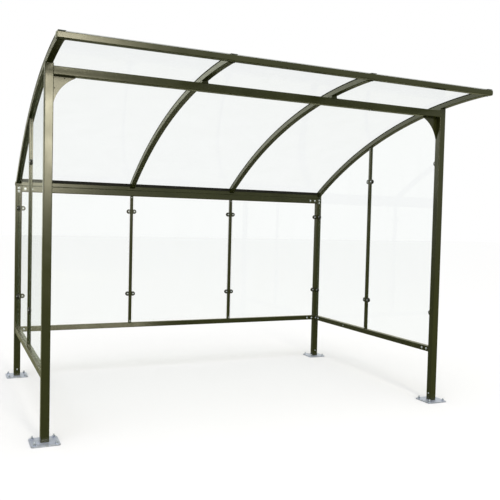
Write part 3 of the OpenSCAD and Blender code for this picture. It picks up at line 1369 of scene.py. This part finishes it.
@dataclass
class PlateScrews:
    """The small painted screws of the gussets, and the bright ones of the mullions' ends."""

    shelter: Shelter
    gusset_down: float = 84.0 * MM
    gusset_along: float = 80.0 * MM
    gusset_in: float = 13.0 * MM
    mullion_in: float = 14.0 * MM
    side_top_in: float = 34.0 * MM
    gusset_screw: ButtonBolt = ButtonBolt(SocketScrew(4.4 * MM, 2.4 * MM, 1.8 * MM))
    mullion_screw: ButtonBolt = ButtonBolt(SocketScrew(6.0 * MM, 3.0 * MM, 2.4 * MM))

    def gusset_points(self, end: str) -> list[Vector]:
        """Finds the screw places of a gusset.

        Args:
            end: Its side.

        Returns:
            One point beside the post and one under the beam.
        """
        low, high = self.shelter.box(f"{end}_gusset")
        corner, way = (low.x, 1.0) if end == "left" else (high.x, -1.0)
        beside = Vector((corner + way * self.gusset_in, low.y, high.z - self.gusset_down))
        under = Vector((corner + way * self.gusset_along, low.y, high.z - self.gusset_in))
        return [beside, under]

    def build(self) -> int:
        """Fits the screws.

        Returns:
            How many were fitted.
        """
        shelter = self.shelter
        painted, mesh = bmesh.new(), bmesh.new()
        count = 0
        for end in shelter.ends:
            count += self.gusset_screw.fit(painted, self.gusset_points(end), Facing.FRONT)
            low, high = shelter.box(f"back_{end}_mullion")
            x = shelter.middle(f"back_{end}_mullion").x
            heights = (low.z + self.mullion_in, high.z - self.mullion_in)
            count += self.mullion_screw.fit(mesh, [Vector((x, low.y, z)) for z in heights], Facing.FRONT)
            low, high = shelter.box(f"{end}_mullion")
            x = shelter.inner_face(f"{end}_mullion", end)
            y = shelter.middle(f"{end}_mullion").y
            heights = (low.z + self.mullion_in, high.z - self.side_top_in)
            count += self.mullion_screw.fit(mesh, [Vector((x, y, z)) for z in heights], shelter.inward(end))
        piece_from("gusset_screws", painted, shelter.finishes.paint)
        piece_from("mullion_screws", mesh, shelter.finishes.screws)
        return count


@dataclass
class PaneClamps:
    """The black pane clamps, each with its screws and the rubber that grips the glass."""

    shelter: Shelter
    edge: float = 1.4 * MM
    nose_radius: float = 22.0 * MM
    nose_centre: float = 14.0 * MM
    lip: float = 1.2 * MM
    lip_thickness: float = 1.6 * MM
    root: float = 8.0 * MM
    half_pane: float = 3.0 * MM
    arc_steps: int = 14
    screw: ButtonBolt = ButtonBolt(
        SocketScrew(6.2 * MM, 2.8 * MM, 2.6 * MM), Washer(8.4 * MM, 4.0 * MM, 0.9 * MM)
    )

    def frames(self, name: str) -> list[tuple[Vector, Vector, Facing, float]]:
        """Finds each clamp of a node.

        Args:
            name: The node.

        Returns:
            For each: the middle of its root face, its reach, the way its front face looks,
            and half its thickness.
        """
        across = 1 if name.startswith("back") else 0
        along = 1 - across
        roots = self.root_planes(along)
        found = []
        for low, high in self.shelter.islands(name):
            middle = (low + high) / 2.0
            at_low = min(abs(low[along] - plane) for plane in roots)
            at_high = min(abs(high[along] - plane) for plane in roots)
            start = middle.copy()
            start[along] = low[along] if at_low < at_high else high[along]
            reach = middle - start
            half = (high[across] - low[across]) / 2.0
            if across == 1:
                facing = Facing.FRONT
            else:
                facing = Facing.RIGHT if middle.x < 0.0 else Facing.LEFT
            found.append((start, reach.normalized(), facing, half))
        return found

    def root_planes(self, along: int) -> list[float]:
        """Finds the faces of the posts and mullions that carry clamps.

        Args:
            along: The axis of the wall, 0 or 1.

        Returns:
            The faces' places on that axis.
        """
        carriers = self.shelter.named("_post") + self.shelter.named("_mullion")
        return [corner[along] for name in carriers for corner in self.shelter.box(name)]

    def rubber(self, mesh: bmesh.types.BMesh, start: Vector, reach: Vector, facing: Vector) -> None:
        """Adds the rubber lip round one jaw of a clamp.

        Args:
            mesh: The mesh to add to.
            start: The middle of the clamp's root face.
            reach: The way the clamp reaches.
            facing: The way the jaw faces.
        """
        radius = self.nose_radius + self.lip
        outline = [(self.root, -radius)]
        for i in range(self.arc_steps + 1):
            angle = FULL_TURN / 2.0 * i / self.arc_steps - QUARTER_TURN
            outline.append((self.nose_centre + radius * math.cos(angle), radius * math.sin(angle)))
        outline.append((self.root, radius))
        up = Facing.UP.vector
        rings = []
        for depth in (self.half_pane, self.half_pane + self.lip_thickness):
            rings.append([start + reach * a + up * b + facing * depth for a, b in outline])
        skin(mesh, rings, Matrix.Identity(4))

    def build(self) -> int:
        """Dresses the clamps and fits their screws and rubbers.

        Returns:
            How many clamps there are.
        """
        shelter = self.shelter
        count = 0
        for name in shelter.named("_clamps"):
            shelter.rounding.edges(shelter.dress(name, shelter.finishes.clamps), self.edge)
            screws, rubbers = bmesh.new(), bmesh.new()
            for start, reach, facing, half in self.frames(name):
                for way in (1.0, -1.0):
                    front = facing.vector * way
                    head = start + reach * self.nose_centre + front * half
                    self.screw.fit(screws, [head], Facing(tuple(front)))
                    self.rubber(rubbers, start, reach, front)
                count += 1
            wall = name.removesuffix("_clamps")
            piece_from(f"{wall}_clamp_screws", screws, shelter.finishes.screws)
            piece_from(f"{wall}_clamp_rubbers", rubbers, shelter.finishes.rubber, smooth=False)
        return count


@dataclass
class CoverScrews:
    """The low screws that hold the roof's cover strips down."""

    shelter: Shelter
    cover_radius: float = 5.3384
    first: float = 0.13
    pitch: float = 0.33
    end_margin: float = 0.06
    turn_step: float = 0.5
    washer: Washer = Washer(7.0 * MM, 3.0 * MM, 0.35 * MM)
    head: SocketScrew = SocketScrew(5.0 * MM, 0.75 * MM, 2.2 * MM)

    def build(self) -> int:
        """Fits the screws.

        Returns:
            How many were fitted.
        """
        mesh = bmesh.new()
        centre = self.shelter.arc_centre
        count = 0
        for name in self.shelter.named("_cover"):
            low, high = self.shelter.box(name)
            x = (low.x + high.x) / 2.0
            span = high.y - self.end_margin - low.y - self.first
            gaps = round(span / self.pitch)
            for i in range(gaps + 1):
                point = self.shelter.on_arc(x, low.y + self.first + span * i / gaps, self.cover_radius)
                away = (point - Vector((x, centre.y, centre.z))).normalized()
                self.washer.build(mesh, stand_on(point, away))
                seat = point + away * self.washer.thickness
                self.head.build(mesh, stand_on(seat, away, self.turn_step * i))
                count += 1
        piece_from("cover_screws", mesh, self.shelter.finishes.screws)
        return count


@dataclass
class FrameWelds:
    """The painted weld beads of the ribs, saddles, posts and front beam."""

    shelter: Shelter
    bead: WeldBead = WeldBead(4.0 * MM)
    small_bead: WeldBead = WeldBead(3.2 * MM)
    rib_inner_radius: float = 5.291
    top_margin: float = 5.0 * MM

    def flanks(self, rib: str) -> tuple[tuple[float, Facing], tuple[float, Facing]]:
        """Returns the places of a rib's two side faces, each with the way it looks."""
        low, high = self.shelter.box(rib)
        return (low.x, Facing.LEFT), (high.x, Facing.RIGHT)

    def rib_to_rail(
        self, mesh: bmesh.types.BMesh, rib: str, rail: str, way: Facing, margin: float = 0.0
    ) -> int:
        """Lays the beads between a rib and a roof edge rail.

        Args:
            mesh: The mesh to add to.
            rib: The rib.
            rail: The rail.
            way: The way the rail's welded face looks.
            margin: How far under the rail's top the upright beads end.

        Returns:
            How many beads were laid.
        """
        low, high = self.shelter.box(rail)
        y = high.y if way is Facing.BACK else low.y
        under = self.shelter.on_arc(0.0, y, self.rib_inner_radius).z
        sides = self.flanks(rib)
        left, right = (Vector((x, y, under)) for x, _ in sides)
        self.bead.build(mesh, left, right, way.vector, Facing.DOWN.vector)
        count = 1
        for x, side in sides:
            if low.x + self.bead.leg < x < high.x - self.bead.leg:
                top = Vector((x, y, high.z - margin))
                self.bead.build(mesh, Vector((x, y, under)), top, side.vector, way.vector)
                count += 1
        return count

    def rib_on_seat(self, mesh: bmesh.types.BMesh, rib: str, seat: str, curved: bool) -> int:
        """Lays the beads on both sides of a rib, over the beam or post that it stands on.

        Args:
            mesh: The mesh to add to.
            rib: The rib.
            seat: The beam or post.
            curved: Whether they follow the rib's underside and not the seat's flat top.

        Returns:
            How many beads were laid.
        """
        low, high = self.shelter.box(seat)
        count = 0
        for x, side in self.flanks(rib):
            line = [Vector((x, y, high.z)) for y in (low.y, high.y)]
            if curved:
                line = [self.shelter.on_arc(x, y, self.rib_inner_radius) for y in (low.y, high.y)]
            self.bead.build(mesh, *line, side.vector, Facing.UP.vector)
            count += 1
        return count

    def beam_end(self, mesh: bmesh.types.BMesh, end: str) -> int:
        """Lays the beads between the front beam and a post.

        Args:
            mesh: The mesh to add to.
            end: The side.

        Returns:
            How many beads were laid.
        """
        low, high = self.shelter.box("front_beam")
        x, side = low.x if end == "left" else high.x, self.shelter.inward(end)
        gusset_low, gusset_high = self.shelter.box(f"{end}_gusset")
        runs = ((low.y, gusset_low.y), (gusset_high.y, high.y))
        for start, finish in runs:
            first, last = Vector((x, start, low.z)), Vector((x, finish, low.z))
            self.small_bead.build(mesh, first, last, side.vector, Facing.DOWN.vector)
        return len(runs)

    def build(self) -> int:
        """Lays every bead.

        Returns:
            How many were laid.
        """
        shelter = self.shelter
        mesh = bmesh.new()
        count = 0
        for name in shelter.named("_rib"):
            count += self.rib_to_rail(mesh, name, "front_rail", Facing.BACK, self.top_margin)
            count += self.rib_to_rail(mesh, name, "rear_rail", Facing.FRONT)
        piece_from("rib_welds", mesh, shelter.finishes.paint)
        mesh = bmesh.new()
        for name in ("inner_left_rib", "inner_right_rib"):
            count += self.rib_on_seat(mesh, name, "front_beam", curved=False)
        for end in shelter.ends:
            count += self.rib_on_seat(mesh, f"{end}_end_rib", f"front_{end}_post", curved=True)
            count += self.beam_end(mesh, end)
        piece_from("beam_welds", mesh, shelter.finishes.paint)
        return count


@dataclass(frozen=True)
class RailLamp:
    """A lamp that only one rail's gloss shows."""

    rail: str
    place: tuple[float, float, float]
    aim: tuple[float, float, float]
    size: tuple[float, float]
    power: float


@dataclass
class Studio:
    """A plain pale floor, soft light and the camera.

    The softbox and the sky light are kept off the clear sheets, the panes and the cover strips.
    """

    shelter: Shelter
    floor_half: float = 60.0
    floor_gap: float = 0.2 * MM
    room_strength: float = 1.0
    room_given: tuple[float, float, float] = (1.0, 1.0, 0.80)
    softbox_place: tuple[float, float, float] = (-0.2, -13.0, 4.05)
    softbox_aim: tuple[float, float, float] = (-1.5, -0.9, 2.0)
    softbox_size: tuple[float, float] = (2.0, 2.7)
    softbox_power: float = 700.0
    softbox_colour: tuple[float, float, float] = (1.0, 0.93, 0.68)
    sky_light_x: tuple[float, float] = (-21.0, -6.8)
    sky_light_z: tuple[float, float] = (3.6, 12.0)
    sky_light_y: float = 20.0
    sky_light_glow: float = 1.9
    sky_light_colour: tuple[float, float, float] = (1.0, 1.0, 0.80)
    rail_lamps: tuple[RailLamp, ...] = (
        RailLamp("front_rail", (-0.3, -13.0, 5.9), (-1.6, -1.43, 2.7), (2.0, 1.6), 190.0),
        RailLamp("back_bottom_rail", (-0.75, -1.2, 0.15), (-1.1, 1.30, 0.471), (2.1, 0.28), 20.0),
    )
    flag_place: tuple[float, float, float] = (-4.3, 20.0, 8.0)
    flag_half: tuple[float, float] = (2.6, 5.2)
    flag_colour: tuple[float, float, float] = (0.04, 0.04, 0.03)
    flag_fade: tuple[float, float] = (0.0, 0.5)
    top_strength: float = 1.2
    top_lean: tuple[float, float] = (22.0, -14.0)
    top_spread: float = 50.0
    camera_place: tuple[float, float, float] = (-2.3195, -5.6306, 1.5800)
    camera_yaw: float = 24.321
    camera_pitch: float = -2.253
    camera_roll: float = 1.394
    lens: float = 47.68
    sensor: float = 36.0
    farthest: float = 300.0

    def board(
        self, name: str, across: Vector, up: Vector, place: Vector, material: bpy.types.Material
    ) -> bpy.types.Object:
        """Makes a flat rectangle.

        Args:
            name: Its name.
            across: Half its width, as a vector.
            up: Half its height, as a vector.
            place: Its middle.
            material: Its finish.

        Returns:
            The rectangle.
        """
        mesh = bmesh.new()
        corners = (-across - up, across - up, across + up, up - across)
        mesh.faces.new([mesh.verts.new(corner) for corner in corners])
        data = bpy.data.meshes.new(name)
        mesh.to_mesh(data)
        mesh.free()
        data.materials.append(material)
        thing = bpy.data.objects.new(name, data)
        thing.location = place
        bpy.context.scene.collection.objects.link(thing)
        return thing

    def build_floor(self) -> None:
        """Lays the floor just under the base plates."""
        across, up = Vector(Run.X.value) * self.floor_half, Vector(Run.Y.value) * self.floor_half
        place = Facing.DOWN.vector * self.floor_gap
        floor = self.board("studio_floor", across, up, place, PaleFloor().material())

    def build_room(self) -> None:
        """Sets the even white light of the room."""
        world = bpy.data.worlds.new("soft_room")
        world.use_nodes = True
        tree = world.node_tree
        given = tree.nodes["Background"]
        given.inputs["Color"].default_value = rgba(self.room_given)
        given.inputs["Strength"].default_value = self.room_strength
        shown = tree.nodes.new("ShaderNodeBackground")
        shown.inputs["Color"].default_value = rgba(WHITE)
        shown.inputs["Strength"].default_value = self.room_strength
        direct = tree.nodes.new("ShaderNodeLightPath")
        whole = tree.nodes.new("ShaderNodeMixShader")
        tree.links.new(direct.outputs["Is Camera Ray"], whole.inputs[0])
        tree.links.new(given.outputs[0], whole.inputs[1])
        tree.links.new(shown.outputs[0], whole.inputs[2])
        tree.links.new(whole.outputs[0], tree.nodes["World Output"].inputs["Surface"])
        bpy.context.scene.world = world

    def spare_roof_and_panes(self, lamp: bpy.types.Object) -> None:
        """Keeps a lamp's glare off the clear sheets, the panes and the cover strips.

        Args:
            lamp: The lamp.
        """
        spared = bpy.data.collections.new(lamp.name + "_spares")
        for ending in ("_roof_sheet", "_pane", "_cover"):
            for name in self.shelter.named(ending):
                spared.objects.link(self.shelter.nodes[name])
        for entry in spared.collection_objects:
            entry.light_linking.link_state = "EXCLUDE"
        lamp.light_linking.receiver_collection = spared

    def hang(
        self, name: str, size: tuple[float, float], power: float, place: Vector, aim: Vector
    ) -> bpy.types.Object:
        """Hangs a rectangular lamp that the camera doesn't see.

        Args:
            name: Its name.
            size: Its width and height.
            power: Its power.
            place: Its middle.
            aim: The point that it faces.

        Returns:
            The lamp.
        """
        data = bpy.data.lights.new(name, "AREA")
        data.shape = "RECTANGLE"
        data.size, data.size_y = size
        data.energy = power
        lamp = bpy.data.objects.new(name, data)
        lamp.location = place
        lamp.rotation_euler = (aim - place).to_track_quat("-Z", "Y").to_euler()
        lamp.visible_camera = False
        bpy.context.scene.collection.objects.link(lamp)
        return lamp

    def build_softbox(self) -> None:
        """Hangs the tall softbox that the front-left post mirrors."""
        place, aim = Vector(self.softbox_place), Vector(self.softbox_aim)
        lamp = self.hang("front_softbox", self.softbox_size, self.softbox_power, place, aim)
        lamp.data.color = self.softbox_colour
        self.spare_roof_and_panes(lamp)

    def build_rail_lamps(self) -> None:
        """Hangs the small lamps that light up the left part of one rail each."""
        for rail_lamp in self.rail_lamps:
            place, aim = Vector(rail_lamp.place), Vector(rail_lamp.aim)
            lamp = self.hang(f"{rail_lamp.rail}_lamp", rail_lamp.size, rail_lamp.power, place, aim)
            lamp.data.color = self.softbox_colour
            lamp.visible_diffuse = False
            lit = bpy.data.collections.new(f"{rail_lamp.rail}_lit")
            lit.objects.link(self.shelter.nodes[rail_lamp.rail])
            lamp.light_linking.receiver_collection = lit

    def build_sky_light(self) -> None:
        """Hangs the wide light behind the shelter that only its gloss shows."""
        left, right = self.sky_light_x
        bottom, top = self.sky_light_z
        size = (right - left, top - bottom)
        power = self.sky_light_glow * math.pi * size[0] * size[1]
        place = Vector(((left + right) / 2.0, self.sky_light_y, (bottom + top) / 2.0))
        lamp = self.hang("sky_light", size, power, place, place + Facing.FRONT.vector)
        lamp.data.color = self.sky_light_colour
        lamp.visible_diffuse = False
        self.spare_roof_and_panes(lamp)

    def flag_cloth(self) -> bpy.types.Material:
        """Returns dark cloth that thins out to nothing at the flag's edge."""
        g = Graph("dark_cloth")
        half_x, half_z = self.flag_half
        shrink = (1.0 / half_x, 0.0, 1.0 / half_z)
        reach = g.add("VectorMath", {0: g.place(), 1: shrink}, operation="MULTIPLY")
        middle = g.add("TexGradient", {"Vector": reach.outputs[0]}, gradient_type="SPHERICAL").outputs["Fac"]
        dense = g.remap(middle, self.flag_fade, g.UNIT, interpolation_type="SMOOTHSTEP")
        clear = g.add("BsdfTransparent", {"Color": rgba(WHITE)})
        cloth = g.add("BsdfDiffuse", {"Color": rgba(self.flag_colour)})
        return g.finish(g.layer(dense, clear, cloth))

    def build_flag(self) -> None:
        """Hangs the dark soft-edged flag that only gloss shows, beside the wide light."""
        half_x, half_z = self.flag_half
        across, up = Vector(Run.X.value) * half_x, Vector(Run.Z.value) * half_z
        flag = self.board("dark_flag", across, up, Vector(self.flag_place), self.flag_cloth())
        flag.visible_camera = False
        flag.visible_diffuse = False
        flag.visible_shadow = False

    def build_top_light(self) -> None:
        """Hangs the wide soft light over the shelter and its floor."""
        data = bpy.data.lights.new("top_light", "SUN")
        data.energy = self.top_strength
        data.angle = math.radians(self.top_spread)
        lamp = bpy.data.objects.new("top_light", data)
        lean_x, lean_y = self.top_lean
        lamp.rotation_euler = (math.radians(lean_x), math.radians(lean_y), 0.0)
        bpy.context.scene.collection.objects.link(lamp)

    def build_camera(self) -> None:
        """Places the camera."""
        yaw, pitch, roll = (math.radians(a) for a in (self.camera_yaw, self.camera_pitch, self.camera_roll))
        ahead = Vector((math.sin(yaw) * math.cos(pitch), math.cos(yaw) * math.cos(pitch), math.sin(pitch)))
        level = Vector((math.cos(yaw), -math.sin(yaw), 0.0))
        over = level.cross(ahead)
        right = level * math.cos(roll) + over * math.sin(roll)
        up = over * math.cos(roll) - level * math.sin(roll)
        data = bpy.data.cameras.new("camera")
        data.lens = self.lens
        data.sensor_width = self.sensor
        data.clip_end = self.farthest
        camera = bpy.data.objects.new("camera", data)
        turn = Matrix((right, up, -ahead)).transposed().to_4x4()
        camera.matrix_world = Matrix.Translation(Vector(self.camera_place)) @ turn
        bpy.context.scene.collection.objects.link(camera)
        bpy.context.scene.camera = camera

    def build(self) -> int:
        """Makes the whole studio.

        Returns:
            How many lamps it has.
        """
        self.build_floor()
        self.build_room()
        self.build_softbox()
        self.build_rail_lamps()
        self.build_sky_light()
        self.build_flag()
        self.build_top_light()
        self.build_camera()
        bpy.context.scene.view_settings.view_transform = "Standard"
        return len(bpy.data.lights)


def main() -> None:
    """Builds every sub-assembly in order."""
    logging.basicConfig(level=logging.INFO, format="%(message)s")
    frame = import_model()
    shelter = Shelter(frame["nodes"], Finishes(), EdgeRounding())
    LOG.info("tubes dressed: %d", TubeFrame(shelter).build())
    LOG.info("panes dressed: %d", ClearPanes(shelter).build())
    LOG.info("anchors fitted: %d", BaseAnchors(shelter).build())
    LOG.info("frame bolts fitted: %d", FrameBolts(shelter).build())
    LOG.info("plate screws fitted: %d", PlateScrews(shelter).build())
    LOG.info("pane clamps fitted: %d", PaneClamps(shelter).build())
    LOG.info("cover screws fitted: %d", CoverScrews(shelter).build())
    LOG.info("weld beads laid: %d", FrameWelds(shelter).build())
    LOG.info("studio lamps: %d", Studio(shelter).build())


if __name__ == "__main__":
    main()
